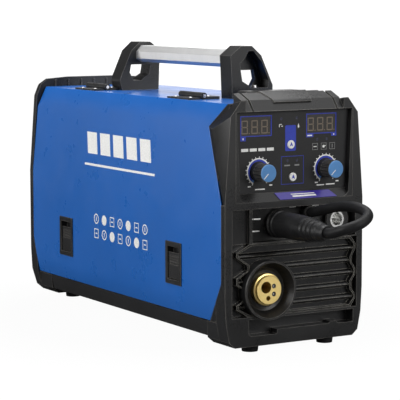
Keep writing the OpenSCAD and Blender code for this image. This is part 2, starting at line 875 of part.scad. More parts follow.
module rear_bezel() color(c_black) place() {
    difference() {
        union() {
            intersection() {
                along_y(441, case_l)
                    polygon(concat([[hw - 14, 7], [hw - 6, 14], [hw - 1.5, 33], [hw, 60],
                        [hw, shoulder_z], [hw - 7, 251], [hw - 13, 265], [hw - 22, 271.5],
                        [hw - 50, 273.5]],
                        [[-hw + 50, 273.5], [-hw + 22, 271.5], [-hw + 13, 265], [-hw + 7, 251],
                        [-hw, shoulder_z],
                        [-hw, 60], [-hw + 1.5, 33], [-hw + 6, 14], [-hw + 14, 7]]));
                along_x(-hw - 2, hw + 2)
                    polygon([[450.6, 5], [450.6, knee_z], [459.1, 75], [459.1, 275], [463, 275],
                        [case_l, 262], [case_l, 34], [462, 5]]);
            }
            // part of the rear wall inside the panels
            along_y(454, 460)
                polygon(concat([[hw - 14, 12]], half(2.6), mirrored(half(2.6)), [[-hw + 14, 12]]));
            // skirt under the base that carries the rear feet
            difference() {
                along_y(418, 455)
                    polygon([[-hw + 14, 7], [hw - 14, 7], [hw - 6, 14], [hw - 4.2, 31.2],
                        [-hw + 4.2, 31.2], [-hw + 6, 14]]);
                along_y(417, 454)
                    polygon([[-hw + 16, 10], [hw - 16, 10], [hw - 9, 16], [hw - 7.2, 33],
                        [-hw + 7.2, 33], [-hw + 9, 16]]);
            }
            // ribs on the inner face of the raised rim
            for (x = [-54, -36, -18, 0, 18, 36, 54])
                box(x - 0.8, x + 0.8, 457.4, 460, top_z + 0.4, 270.5);
        }
        // hollow behind the rim
        along_y(462, case_l + 1)
            polygon([[-70, 24], [70, 24], [78, 40], [78, shoulder_z], [70, 245], [62, 258], [-62, 258],
                [-70, 245], [-78, shoulder_z], [-78, 40]]);
        // air intake in front of the fan
        for (k = [0 : 6])
            intersection() {
                disc_y(fan_x, fan_z, 42, 450, case_l);
                box(fan_x - 45, fan_x + 45, 450, case_l, fan_z - 40.5 + 12 * k, fan_z - 31.5 + 12 * k);
            }
        // switch, mains and gas openings
        box(fan_x - 14, fan_x + 14, 450, case_l, 192.8, 215.2);
        disc_y(-40, 205, 10, 450, case_l);
        disc_y(-40, 90, 6, 450, case_l);
    }
}

module power_switch_frame() color(c_black) place() {
    difference() {
        union() {
            box(fan_x - 16, fan_x + 16, 462, 464.5, 191, 217);
            box(fan_x - 13.8, fan_x + 13.8, 440, 462.1, 193, 215);
        }
        box(fan_x - 11, fan_x + 11, 449, 466, 195, 213);
        box(fan_x - 13, fan_x + 13, 451, 461, 194.2, 213.8);
    }
    for (x = [-8, 0, 8])
        box(fan_x + x - 0.4, fan_x + x + 0.4, 432, 440.1, 201, 207);
}

module power_switch_rocker() color([0.75, 0.1, 0.1]) place() {
    along_x(fan_x - 10.6, fan_x + 10.6)
        polygon([[453.5, 200.5], [459, 197.6], [466.4, 197.6], [464.6, 204], [463.4, 211.4],
            [459, 211.4], [453.5, 207.5]]);
    disc_x(457, 204, 1.6, fan_x - 10.8, fan_x + 10.8);
}

module mains_gland() color(c_black) place() {
    turned_y(-40, 205)
        polygon([[6, 448], [12.5, 448], [12.5, 453.9], [9.9, 453.9], [9.9, 462], [14, 462],
            [14, 468], [12.5, 470], [12.5, 478], [10, 482], [6, 482]]);
}

module gas_inlet() color(c_brass) place() {
    difference() {
        union() {
            turned_y(-40, 90)
                polygon([[0, 440], [10, 440], [10, 453.9], [5.9, 453.9], [5.9, 462], [9, 462],
                    [9, 466], [4.4, 466], [4.4, 470], [5, 471.4], [4, 474.4], [5, 475.4],
                    [4, 478.4], [5, 479.4], [3.6, 482.5], [0, 482.5]]);
            box(-54, -26, 438, 453.8, 76, 114);
        }
        disc_y(-40, 90, 2.5, 444, 490);
    }
}

module fan_frame() color(c_black) place() {
    difference() {
        box(fan_x - fan_w / 2, fan_x + fan_w / 2, fan_d, fan_d + fan_t, fan_z - fan_w / 2,
            fan_z + fan_w / 2);
        disc_y(fan_x, fan_z, 43.5, fan_d - 1, fan_d + fan_t + 1);
        for (x = [-41, 41], z = [-41, 41])
            disc_y(fan_x + x, fan_z + z, 2.2, fan_d - 1, fan_d + fan_t + 1);
    }
    disc_y(fan_x, fan_z, 17, fan_d, fan_d + 3);
    for (k = [0 : 3])
        translate([fan_x, 0, fan_z])
            rotate([0, 45 + 90 * k, 0])
                box(15, 44, fan_d, fan_d + 3, -2, 2);
    disc_y(fan_x, fan_z, 1.5, fan_d + 2, fan_d + 16);
}

module fan_impeller() color(c_black) place() {
    difference() {
        union() {
            disc_y(fan_x, fan_z, 17, fan_d + 4, fan_d + 20);
            intersection() {
                disc_y(fan_x, fan_z, 42, fan_d + 4, fan_d + 21);
                for (k = [0 : 6])
                    translate([fan_x, fan_d + 12, fan_z])
                        rotate([0, 360 / 7 * k, 0])
                            translate([28, 0, 0])
                                rotate([35, 0, 0])
                                    cube([34, 1.6, 26], center = true);
            }
        }
        disc_y(fan_x, fan_z, 1.55, fan_d + 3, fan_d + 17);
    }
}

// ---------- wire bay ----------

module divider_plate() color(c_steel) place() {
    difference() {
        union() {
            box(divider_x, divider_x + divider_t, 62, 424, 15.5, 257);
            box(divider_x, divider_x + 14, 62, 424, 15.5, 17);
            disc_x(spool_d, spool_z, 8, divider_x - 62, divider_x + 1);
            disc_x(spool_d, spool_z, 16, divider_x - 3, divider_x + 1);
        }
        disc_x(roll_d, wire_z - roll_gap - roll_r, 8, divider_x - 2, divider_x + 4);
    }
}

module spool_hub() color(c_black) place() {
    difference() {
        union() {
            disc_x(spool_d, spool_z, hub_r, divider_x - 60, divider_x - 8);
            disc_x(spool_d, spool_z, 34, divider_x - 8, divider_x - 4);
            disc_x(spool_d, spool_z, 20, divider_x - 62, divider_x - 59);
        }
        disc_x(spool_d, spool_z, 8.06, divider_x - 63, divider_x - 3);
        for (k = [0 : 2])
            translate([0, spool_d, spool_z])
                rotate([120 * k, 0, 0])
                    box(divider_x - 59, divider_x - 12, -2, 2, 15, 22);
    }
}

module feed_plate() color(c_alu) place() {
    roll_z = wire_z - roll_gap - roll_r;
    difference() {
        union() {
            box(-18, divider_x, 94, 168, 34, 108);
            // outlet and inlet wire guides
            box(-42, -17, 94, 102, 60, 78);
            box(-42, -17, 160, 168, 60, 78);
            disc_x(arm_d, arm_z, 4, -34, -17);
        }
        disc_y(wire_x, wire_z, 1.6, 93, 169);
        disc_x(roll_d, roll_z, 4.06, -19, divider_x + 1);
    }
}

module drive_roll() color(c_steel) place() {
    z = wire_z - roll_gap - roll_r;
    disc_x(roll_d, z, 4, -40, divider_x + 16);
    translate([wire_x, roll_d, z])
        rotate([0, 90, 0])
            rotate_extrude()
                polygon([[3, -5], [roll_r, -5], [roll_r, -0.8], [roll_r - 0.8, 0], [roll_r, 0.8],
                    [roll_r, 5], [3, 5]]);
    disc_x(roll_d, z, 9, -44, -39.9);
}

module pressure_arm() color(c_black) place() {
    z = wire_z + roll_gap + roller_r;
    difference() {
        along_x(-28, -19)
            polygon([[arm_d + 7, arm_z - 6], [arm_d + 7, arm_z + 7], [118, 104], [100, 104], [100, 92],
                [roll_d - 7, 88], [roll_d - 7, 74], [roll_d + 7, 74], [roll_d + 7, 84]]);
        disc_x(arm_d, arm_z, 4.06, -30, -18);
    }
    disc_x(roll_d, z, 3, -39, -27);
    // tension screw and its knob
    translate([-23.5, 106, 103]) {
        cylinder(r = 3, h = 12);
        translate([0, 0, 10])
            cylinder(r = 9, h = 22);
    }
}

module pressure_roller() color(c_steel) place() {
    z = wire_z + roll_gap + roller_r;
    difference() {
        disc_x(roll_d, z, roller_r, wire_x - 3.8, wire_x + 5);
        disc_x(roll_d, z, 3.06, wire_x - 6, wire_x + 6);
    }
}

module feed_motor() color(c_steel) place() {
    z = wire_z - roll_gap - roll_r;
    difference() {
        union() {
            box(divider_x + divider_t, divider_x + 26, roll_d - 24, roll_d + 24, z - 24, z + 24);
            disc_x(roll_d, z, 23, divider_x + 25, divider_x + 82);
            disc_x(roll_d, z, 6, divider_x + 82, divider_x + 86);
        }
        disc_x(roll_d, z, 4.06, divider_x, divider_x + 17);
    }
}

// ---------- electronics ----------

module power_board() color(c_green) place() {
    box(2, 66, 196, 420, 22, 23.6);
    // filter capacitors
    for (d = [216, 252])
        translate([18, d, 23.5])
            cylinder(r = 14, h = 45);
    // output choke
    box(36, 64, 262, 300, 23.5, 56);
    for (x = [6, 62], d = [200, 416])
        translate([x, d, 15.5])
            cylinder(r = 2.5, h = 7);
}

module power_transformer() color([0.55, 0.4, 0.25]) place() {
    box(38, 62, 200, 250, 28, 56);
    box(34, 66, 209, 241, 23.6, 60);
}

module heatsink() color(c_alu) place() {
    box(6, 62, 312, 412, 30, 36);
    for (k = [0 : 8])
        box(6 + 6.6 * k, 8.2 + 6.6 * k, 312, 412, 35.9, 76);
    for (x = [10, 58], d = [318, 406])
        translate([x, d, 23.6])
            cylinder(r = 2.5, h = 6.5);
}

base_pan();
rubber_feet();
front_bezel();
front_grille();
torch_collar();
torch_connector();
torch_pins();
control_panel();
control_board();
display_left();
display_right();
led_indicators();
potentiometers();
voltage_knob();
voltage_knob_cap();
current_knob();
current_knob_cap();
mode_button();
cycle_button();
badge_plate();
positive_socket();
positive_contact();
negative_socket();
negative_contact();
lead_gland();
polarity_lead();
plug_sleeve();
plug_pin();
case_cover();
side_door();
front_latch_frame();
front_latch_slider();
rear_latch_frame();
rear_latch_slider();
front_hinge_case_leaf();
front_hinge_door_leaf();
rear_hinge_case_leaf();
rear_hinge_door_leaf();
hinge_pins();
front_handle_bracket();
rear_handle_bracket();
handle_bar();
handle_screws();
rear_bezel();
power_switch_frame();
power_switch_rocker();
mains_gland();
gas_inlet();
fan_frame();
fan_impeller();
divider_plate();
feed_plate();
drive_roll();
pressure_arm();
pressure_roller();
feed_motor();
spool_hub();
power_board();
power_transformer();
heatsink();
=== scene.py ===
"""Looks of the portable wire-feed welder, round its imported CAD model. Metres, +Z up, front towards -Y."""

import math

import bmesh
import bpy
from mathutils import Matrix, Vector


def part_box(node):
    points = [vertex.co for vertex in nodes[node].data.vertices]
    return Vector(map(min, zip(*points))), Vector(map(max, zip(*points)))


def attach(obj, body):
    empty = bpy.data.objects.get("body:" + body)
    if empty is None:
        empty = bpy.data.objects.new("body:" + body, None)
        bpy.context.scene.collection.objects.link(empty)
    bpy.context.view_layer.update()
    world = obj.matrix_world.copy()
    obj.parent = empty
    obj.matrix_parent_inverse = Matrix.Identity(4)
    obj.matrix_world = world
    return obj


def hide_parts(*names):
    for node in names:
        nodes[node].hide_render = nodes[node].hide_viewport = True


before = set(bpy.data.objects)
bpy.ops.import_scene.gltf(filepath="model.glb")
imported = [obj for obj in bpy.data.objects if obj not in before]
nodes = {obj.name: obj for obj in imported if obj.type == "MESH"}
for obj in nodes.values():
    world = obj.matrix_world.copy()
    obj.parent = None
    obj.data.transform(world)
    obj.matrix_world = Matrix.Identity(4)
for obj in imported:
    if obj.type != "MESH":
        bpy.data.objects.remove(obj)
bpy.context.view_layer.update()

MM = 0.001
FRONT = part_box("front_bezel")[0].y / MM
PRINT = 0.08  # thickness of printed ink and labels, in mm


def at(x, d, z):
    """Point in metres from millimetres: across, behind the front rim, above the floor."""
    return Vector((x, FRONT + d, z)) * MM


# ---------- camera ----------

CAMERA_AZIMUTH, CAMERA_ELEVATION, CAMERA_ROLL = -30.83, 6.47, -0.1
CAMERA_AT = at(-1061.9, -1582.3, 375.3)
LENS = 162.8
SENSOR = 36.0


def make_camera():
    """A long lens from the front left, a little above the machine."""
    a, e = math.radians(CAMERA_AZIMUTH), math.radians(CAMERA_ELEVATION)
    back = Vector((math.sin(a) * math.cos(e), -math.cos(a) * math.cos(e), math.sin(e)))
    data = bpy.data.cameras.new("camera")
    data.lens = LENS
    data.sensor_width = SENSOR
    data.clip_end = 50.0
    camera = bpy.data.objects.new("camera", data)
    camera.rotation_mode = "QUATERNION"
    roll = Matrix.Rotation(math.radians(CAMERA_ROLL), 3, "Z")
    camera.rotation_quaternion = ((-back).to_track_quat("-Z", "Y").to_matrix() @ roll).to_quaternion()
    camera.location = CAMERA_AT
    bpy.context.scene.collection.objects.link(camera)
    bpy.context.scene.camera = camera


make_camera()

# ---------- material kit ----------


# number sockets of a Map Range node
RANGE = ("From Min", "From Max", "To Min", "To Max")


class Graph:
    """A material's node tree, with short calls for the nodes that the materials share."""

    def __init__(self, name, **sockets):
        self.material = bpy.data.materials.new(name)
        self.material.use_nodes = True
        self.tree = self.material.node_tree
        self.bsdf = self.tree.nodes["Principled BSDF"]
        for socket, value in sockets.items():
            self.bsdf.inputs[socket.replace("_", " ")].default_value = value
        self.where = self.add("ShaderNodeTexCoord").outputs["Object"]

    def add(self, kind, **settings):
        node = self.tree.nodes.new(kind)
        for key, value in settings.items():
            setattr(node, key, value)
        return node

    def link(self, a, b):
        self.tree.links.new(a, b)

    def stretched(self, scale):
        node = self.add("ShaderNodeMapping")
        node.inputs["Scale"].default_value = scale
        self.link(self.where, node.inputs["Vector"])
        return node.outputs["Vector"]

    def noise(self, scale, detail=3.0, rough=0.55, vector=None):
        node = self.add("ShaderNodeTexNoise")
        node.inputs["Scale"].default_value = scale
        node.inputs["Detail"].default_value = detail
        node.inputs["Roughness"].default_value = rough
        self.link(vector or self.where, node.inputs["Vector"])
        return node.outputs["Fac"]

    def cells(self, scale, feature="F1", vector=None):
        node = self.add("ShaderNodeTexVoronoi", feature=feature)
        node.inputs["Scale"].default_value = scale
        self.link(vector or self.where, node.inputs["Vector"])
        return node.outputs["Distance"]

    def span(self, value, low, high, out_low=0.0, out_high=1.0):
        node = self.add("ShaderNodeMapRange", clamp=True)
        for socket, number in zip(RANGE, (low, high, out_low, out_high)):
            node.inputs[socket].default_value = number
        self.link(value, node.inputs["Value"])
        return node.outputs["Result"]

    def math(self, operation, a, b):
        node = self.add("ShaderNodeMath", operation=operation)
        for k, value in enumerate((a, b)):
            if isinstance(value, (int, float)):
                node.inputs[k].default_value = value
            else:
                self.link(value, node.inputs[k])
        return node.outputs["Value"]

    def mix(self, share, a, b):
        node = self.add("ShaderNodeMix", data_type="RGBA")
        self.link(share, node.inputs["Factor"])
        for name, value in (("A", a), ("B", b)):
            socket = [s for s in node.inputs if s.name == name and s.type == "RGBA"][0]
            if isinstance(value, tuple):
                socket.default_value = value + (1.0,)
            else:
                self.link(value, socket)
        return [s for s in node.outputs if s.type == "RGBA"][0]

    def edges(self, radius, strength=1.0):
        """Near 1 along sharp edges and 0 on flat faces."""
        bevel = self.add("ShaderNodeBevel", samples=4)
        bevel.inputs["Radius"].default_value = radius
        flat = self.add("ShaderNodeNewGeometry").outputs["Normal"]
        dot = self.add("ShaderNodeVectorMath", operation="DOT_PRODUCT")
        self.link(bevel.outputs["Normal"], dot.inputs[0])
        self.link(flat, dot.inputs[1])
        return self.span(dot.outputs["Value"], 0.995, 0.80, 0.0, strength)

    def bump(self, height, distance, strength=1.0):
        node = self.add("ShaderNodeBump")
        node.inputs["Distance"].default_value = distance
        node.inputs["Strength"].default_value = strength
        self.link(height, node.inputs["Height"])
        self.link(node.outputs["Normal"], self.bsdf.inputs["Normal"])

    def colour(self, value):
        self.link(value, self.bsdf.inputs["Base Color"])

    def roughness(self, value):
        self.link(value, self.bsdf.inputs["Roughness"])


def tint(colour, by):
    return tuple(c * by for c in colour)


def plastic(name, colour, rough=0.45, grain=1100.0, depth=0.00006, wear_and_highlight=(0.19, 0.18, 0.165), specular=0.35):
    """Moulded plastic with a spark-eroded grain, handling shine, and edges paled partly by wear and partly
    by a painted highlight.
    """
    g = Graph(name, Specular_IOR_Level=specular)
    cloud = g.noise(14.0, 4.0)
    grain_map = g.noise(grain, 2.0, 0.5)
    body = g.mix(g.span(cloud, 0.3, 0.7), tint(colour, 0.82), tint(colour, 1.2))
    # edge mask: partly wear, partly a painted highlight along the rims
    rub_and_highlight = g.math("MULTIPLY", g.edges(0.0011), g.span(g.noise(60.0, 3.0), 0.35, 0.65, 0.6, 1.0))
    g.colour(g.mix(rub_and_highlight, body, wear_and_highlight))
    uneven = g.math("ADD", cloud, g.math("MULTIPLY", grain_map, 0.5))
    g.roughness(g.span(uneven, 0.5, 1.0, rough - 0.07, rough + 0.09))
    g.bump(grain_map, depth)
    return g.material


def enamel(name, colour, rough=0.3, coat=0.25):
    """Baked enamel: faint orange peel, slow colour drift, dust specks, and folds paled partly by rubbing
    and partly by a painted highlight.
    """
    g = Graph(name, Specular_IOR_Level=0.4, Coat_Weight=coat, Coat_Roughness=0.18)
    drift = g.noise(6.0, 3.0)
    peel = g.noise(420.0, 2.0, 0.4)
    body = g.mix(g.span(drift, 0.3, 0.7), tint(colour, 0.93), tint(colour, 1.07))
    speck = g.span(g.cells(900.0), 0.05, 0.0)
    thin = g.span(g.noise(45.0, 2.0), 0.62, 0.7)
    dust = g.math("MULTIPLY", g.math("MULTIPLY", speck, thin), 0.12)
    dusty = g.mix(dust, body, tint(colour, 1.4))
    # paler folds: partly wear, partly a painted highlight along the edges
    wear_and_highlight = g.math("MULTIPLY", g.edges(0.0007), g.span(g.noise(90.0, 3.0), 0.45, 0.75, 0.1, 0.7))
    g.colour(g.mix(wear_and_highlight, dusty, tuple(0.55 * c + 0.12 for c in colour)))
    g.roughness(g.span(g.noise(30.0, 4.0), 0.3, 0.7, rough - 0.05, rough + 0.08))
    g.bump(peel, 0.00005, 0.5)
    return g.material


def metal(name, colour, rough=0.3, grain=(30.0, 900.0, 900.0), uneven=1.0):
    """Machined or drawn metal: fine lines along one direction and a slightly uneven tone."""
    g = Graph(name, Metallic=1.0)
    lines = g.noise(1.0, 3.0, 0.6, g.stretched(grain))
    tone = g.noise(70.0, 3.0)
    dull, bright = tint(colour, 1.0 - 0.2 * uneven), tint(colour, 1.0 + 0.08 * uneven)
    g.colour(g.mix(g.span(g.math("ADD", lines, tone), 0.75, 1.25), dull, bright))
    g.roughness(g.span(lines, 0.3, 0.7, rough - 0.08 * uneven, rough + 0.1 * uneven))
    g.bump(lines, 0.00003 * uneven, 0.5)
    return g.material


def film():
    """Printed polyester film over the control panel: charcoal with a fine fleck."""
    g = Graph("panel film", Specular_IOR_Level=0.3)
    fleck = g.span(g.noise(1500.0, 2.0, 0.7), 0.56, 0.72)
    g.colour(g.mix(fleck, (0.0085, 0.0085, 0.0092), (0.028, 0.028, 0.030)))
    g.roughness(g.span(g.noise(25.0, 4.0), 0.3, 0.7, 0.42, 0.55))
    g.bump(g.noise(2200.0, 2.0), 0.00002)
    return g.material


def rubber(name, colour=(0.0085, 0.0085, 0.009), rough=0.42, specular=0.3):
    """Soft black rubber: satin, with a little bloom and fine pits."""
    g = Graph(name, Specular_IOR_Level=specular)
    bloom = g.noise(55.0, 4.0)
    pits = g.noise(1300.0, 2.0)
    g.colour(g.mix(g.span(bloom, 0.4, 0.75), colour, tint(colour, 1.5)))
    g.roughness(g.span(bloom, 0.3, 0.7, rough - 0.1, rough + 0.1))
    g.bump(pits, 0.00004)
    return g.material


def ink(name, colour, rough=0.5):
    """Screen-printed ink, slightly uneven."""
    g = Graph(name, Specular_IOR_Level=0.3)
    cover = g.noise(700.0, 3.0, 0.6)
    g.colour(g.mix(g.span(cover, 0.35, 0.65), tint(colour, 0.82), colour))
    g.roughness(g.span(cover, 0.3, 0.7, rough - 0.08, rough + 0.08))
    g.bump(cover, 0.00001)
    return g.material


def smoked_window():
    """Tinted display window with the matt reflector block showing through."""
    g = Graph("smoked window", Specular_IOR_Level=0.35)
    body = g.mix(g.span(g.noise(900.0, 2.0), 0.4, 0.7), (0.021, 0.018, 0.015), (0.034, 0.03, 0.026))
    g.colour(body)
    g.roughness(g.span(g.noise(40.0), 0.3, 0.7, 0.28, 0.4))
    g.bump(g.noise(1600.0), 0.00001)
    return g.material


def circuit(name):
    """Solder mask with buried tracks and pads."""
    g = Graph(name, Specular_IOR_Level=0.5, Coat_Weight=0.3, Coat_Roughness=0.2)
    tracks = g.span(g.cells(170.0, "DISTANCE_TO_EDGE"), 0.02, 0.06)
    pads = g.span(g.cells(330.0), 0.16, 0.12)
    board = g.mix(tracks, (0.02, 0.12, 0.05), (0.008, 0.055, 0.022))
    g.colour(g.mix(pads, board, (0.5, 0.5, 0.46)))
    g.roughness(g.span(g.noise(60.0), 0.3, 0.7, 0.3, 0.45))
    g.bump(tracks, 0.00005)
    return g.material


def winding(name):
    """Varnished tape and winding on the transformer."""
    g = Graph(name, Coat_Weight=0.4, Coat_Roughness=0.3)
    wraps = g.noise(1.0, 2.0, 0.5, g.stretched((40.0, 40.0, 700.0)))
    g.colour(g.mix(g.span(wraps, 0.35, 0.65), (0.18, 0.09, 0.03), (0.42, 0.24, 0.08)))
    g.roughness(g.span(wraps, 0.3, 0.7, 0.35, 0.55))
    g.bump(wraps, 0.0002)
    return g.material


BLACK = (0.0125, 0.0125, 0.0128)
BLUE = (0.008, 0.106, 0.41)

# the last colour given to plastic() is its edge colour: partly wear, partly painted highlight
looks = {
    "moulding": plastic("moulded black", BLACK, 0.3),
    "collar": plastic("satin black", (0.010, 0.010, 0.0105), 0.34, 1500.0, 0.00003),
    # the grille's beige edge colour paints the highlights along its ribs
    "grille": plastic("glossy black", (0.0095, 0.0095, 0.010), 0.24, 1500.0, 0.00003, (0.36, 0.34, 0.29)),
    "pan": enamel("black powder coat", (0.0115, 0.0115, 0.012), 0.42, 0.0),
    "blue": enamel("blue enamel", BLUE),
    "rubber": rubber("black rubber"),
    "jacket": rubber("cable jacket", (0.0075, 0.0075, 0.008), 0.5, 0.17),
    "film": film(),
    "window": smoked_window(),
    "segment": ink("unlit segment", (0.17, 0.135, 0.10), 0.4),
    "lamp": ink("unlit lamp", (0.045, 0.045, 0.075), 0.25),
    "cap": plastic("light blue cap", (0.07, 0.215, 0.47), 0.42, 1600.0, 0.00002, (0.2, 0.35, 0.6)),
    "key": plastic("white key", (0.72, 0.72, 0.70), 0.4, 1600.0, 0.00002, (0.85, 0.85, 0.84)),
    "badge": enamel("purple badge", (0.042, 0.028, 0.26), 0.3, 0.3),
    "brass": metal("machined brass", (1.0, 0.76, 0.30), 0.38, (500.0, 60.0, 500.0), 0.3),
    "tinned": metal("tinned copper", (0.72, 0.72, 0.71), 0.28, (500.0, 60.0, 500.0), 0.5),
    "steel": metal("plated steel", (0.60, 0.60, 0.61), 0.3, (700.0, 120.0, 700.0)),
    "zinc": metal("galvanised sheet", (0.56, 0.57, 0.58), 0.42, (60.0, 60.0, 60.0)),
    "aluminium": metal("brushed aluminium", (0.78, 0.78, 0.79), 0.36, (900.0, 14.0, 900.0)),
    "anodised": metal("anodised tube", (0.80, 0.80, 0.80), 0.46, (700.0, 9.0, 700.0), 0.25),
    "board": circuit("green board"),
    "coil": winding("transformer winding"),
    "rocker": plastic("red rocker", (0.42, 0.012, 0.010), 0.28, 1500.0, 0.00002, (0.6, 0.1, 0.08)),
    "white ink": ink("white ink", (0.82, 0.82, 0.80)),
    # a whiter copy of the white ink: painted light that lifts marks sitting in the recess's shade
    "shade-lifting white ink": ink("shade-lifting white ink", (0.97, 0.97, 0.95)),
    "blue ink": ink("blue ink", (0.028, 0.05, 0.42)),
    "pale blue ink": ink("pale blue ink", (0.07, 0.2, 0.5)),
    "grey ink": ink("grey ink", (0.24, 0.24, 0.24)),
    "dark ink": ink("dark ink", (0.012, 0.012, 0.013)),
}

NODE_LOOKS = {
    "moulding": "front_bezel rear_bezel front_handle_bracket rear_handle_bracket",
    "grille": "front_grille",
    "collar": "torch_collar positive_socket negative_socket lead_gland power_switch_frame mains_gland "
    "front_latch_frame rear_latch_frame front_latch_slider rear_latch_slider voltage_knob current_knob "
    "fan_frame fan_impeller spool_hub pressure_arm torch_pins",
    "pan": "base_pan front_hinge_case_leaf front_hinge_door_leaf rear_hinge_case_leaf rear_hinge_door_leaf",
    "blue": "side_door case_cover",
    "rubber": "rubber_feet plug_sleeve",
    "jacket": "polarity_lead",
    "film": "control_panel",
    "window": "display_left display_right",
    "lamp": "led_indicators",
    "cap": "voltage_knob_cap current_knob_cap",
    "key": "mode_button cycle_button",
    "badge": "badge_plate",
    "brass": "torch_connector plug_pin gas_inlet",
    "tinned": "positive_contact negative_contact",
    "steel": "hinge_pins handle_screws drive_roll pressure_roller feed_motor potentiometers",
    "zinc": "divider_plate",
    "aluminium": "feed_plate heatsink",
    "anodised": "handle_bar",
    "board": "control_board power_board",
    "coil": "power_transformer",
    "rocker": "power_switch_rocker",
}


def paint(obj, look):
    obj.data.materials.clear()
    obj.data.materials.append(looks[look])


# ---------- CAD nodes ----------

SOFT_EDGES = {
    0.9: "front_bezel rear_bezel",
    0.8: "front_handle_bracket rear_handle_bracket",
    0.45: "front_grille case_cover side_door base_pan handle_bar badge_plate power_switch_frame "
    "power_switch_rocker front_latch_frame rear_latch_frame front_latch_slider rear_latch_slider "
    "feed_plate pressure_arm",
}


def soften(obj, width):
    """Rounds the sharp edges of a folded or moulded piece by width millimetres."""
    weld = obj.modifiers.new("weld", "WELD")
    weld.merge_threshold = 0.000005
    clean = obj.modifiers.new("clean", "DECIMATE")
    clean.decimate_type = "DISSOLVE"
    clean.angle_limit = math.radians(0.6)
    bevel = obj.modifiers.new("round", "BEVEL")
    bevel.width = width * MM
    bevel.segments = 2
    bevel.limit_method = "ANGLE"
    bevel.angle_limit = math.radians(28)
    bevel.use_clamp_overlap = True
    bevel.harden_normals = False
    even = obj.modifiers.new("even", "WEIGHTED_NORMAL")
    even.keep_sharp = False
    even.weight = 100


for look, names in NODE_LOOKS.items():
    for name in names.split():
        paint(nodes[name], look)
for width, names in SOFT_EDGES.items():
    for name in names.split():
        soften(nodes[name], width)

# ---------- piece kit ----------


def piece(name, mesh, look, body):
    """A mesh as a named piece that rides on a body."""
    mesh.normal_update()
    data = bpy.data.meshes.new(name)
    mesh.to_mesh(data)
    mesh.free()
    obj = bpy.data.objects.new(name, data)
    bpy.context.scene.collection.objects.link(obj)
    paint(obj, look)
    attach(obj, body)
    return obj


def slab(mesh, outline, lift, place):
    """Closed slab: a 2-D outline in mm and the same lift mm above it, put in space by place(u, v, w)."""
    low = [mesh.verts.new(place(u, v, 0.0)) for u, v in outline]
    high = [mesh.verts.new(place(u, v, lift)) for u, v in outline]
    mesh.faces.new(high)
    mesh.faces.new(low[::-1])
    n = len(outline)
    for k in range(n):
        j = (k + 1) % n
        mesh.faces.new((low[k], low[j], high[j], high[k]))


def arc(radius, start, end, steps, cx=0.0, cy=0.0):
    """Points on an arc, angles in degrees."""
    angles = [math.radians(start + (end - start) * k / steps) for k in range(steps + 1)]
    return [(cx + radius * math.cos(a), cy + radius * math.sin(a)) for a in angles]


def rounded(x0, z0, x1, z1, r, steps=5):
    """Rectangle with round corners."""
    return (arc(r, 0, 90, steps, x1 - r, z1 - r) + arc(r, 90, 180, steps, x0 + r, z1 - r)
            + arc(r, 180, 270, steps, x0 + r, z0 + r) + arc(r, 270, 360, steps, x1 - r, z0 + r))


def frame_parts(x0, z0, x1, z1, w):
    """The four bars of a rectangular outline w wide."""
    return [[(x0, z0), (x1, z0), (x1 - w, z0 + w), (x0 + w, z0 + w)],
            [(x1, z0), (x1, z1), (x1 - w, z1 - w), (x1 - w, z0 + w)],
            [(x1, z1), (x0, z1), (x0 + w, z1 - w), (x1 - w, z1 - w)],
            [(x0, z1), (x0, z0), (x0 + w, z0 + w), (x0 + w, z1 - w)]]


def bar(x0, z0, x1, z1):
    return [(x0, z0), (x1, z0), (x1, z1), (x0, z1)]


def ring(cx, cz, inner, outer, start=0, end=360, steps=48):
    """An arc band as one outline; a full circle closes on itself through a hairline seam."""
    if end - start >= 360:
        end = start + 359.9
    return arc(outer, start, end, steps, cx, cz) + arc(inner, start, end, steps, cx, cz)[::-1]


def on_front(d):
    """Places outlines on a face across the machine at depth d, with their lift towards the front."""
    return lambda u, v, w: at(u, d - w, v)


def prints(name, outlines, look, place, body="case", lift=PRINT):
    mesh = bmesh.new()
    for outline in outlines:
        slab(mesh, outline, lift, place)
    bmesh.ops.recalc_face_normals(mesh, faces=mesh.faces)
    return piece(name, mesh, look, body)


# ---------- power lead ----------

LEAD_R = 5.5
LEAD_ROUTE = [(-17, -84, 134.5), (-17, -94, 136), (-11, -107, 140.5), (4, -112.5, 146), (19, -104, 151.5),
              (26, -87, 155.5), (27, -66, 157), (26, -40, 154.5), (23, -16, 148.5), (21, 2, 144.5)]


def lead_line(steps):
    """The lead's centreline: a smooth curve through the route's points, in mm."""
    route = [Vector(p) for p in LEAD_ROUTE]
    line = []
    for k in range(len(route) - 1):
        a, b = route[max(0, k - 1)], route[k]
        c, e = route[k + 1], route[min(len(route) - 1, k + 2)]
        for s in range(steps):
            t = s / steps
            line.append(0.5 * (2 * b + (c - a) * t + (2 * a - 5 * b + 4 * c - e) * t * t
                               + (3 * b - a - 3 * c + e) * t ** 3))
    return line + [route[-1]]


def make_lead():
    """Swept rubber tube from the plug round to the gland."""
    line = lead_line(12)
    sides = 28
    mesh = bmesh.new()
    rings = []
    for k, p in enumerate(line):
        ahead = line[min(k + 1, len(line) - 1)] - line[max(k - 1, 0)]
        along = ahead.normalized() if 0 < k < len(line) - 1 else Vector((0, -1 if k == 0 else 1, 0))
        across = along.cross(Vector((0, 0, 1))).normalized()
        up = across.cross(along)
        rings.append([mesh.verts.new(at(*(p + LEAD_R * (math.cos(a) * across + math.sin(a) * up))))
                      for a in (2 * math.pi * j / sides for j in range(sides))])
    for a, b in zip(rings, rings[1:]):
        for j in range(sides):
            mesh.faces.new((a[j], b[j], b[(j + 1) % sides], a[(j + 1) % sides]))
    mesh.faces.new(rings[0])
    mesh.faces.new(rings[-1][::-1])
    bmesh.ops.recalc_face_normals(mesh, faces=mesh.faces)
    for f in mesh.faces:
        f.smooth = len(f.verts) == 4
    lead = piece("power_lead", mesh, "jacket", "case")
    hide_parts("polarity_lead")


make_lead()

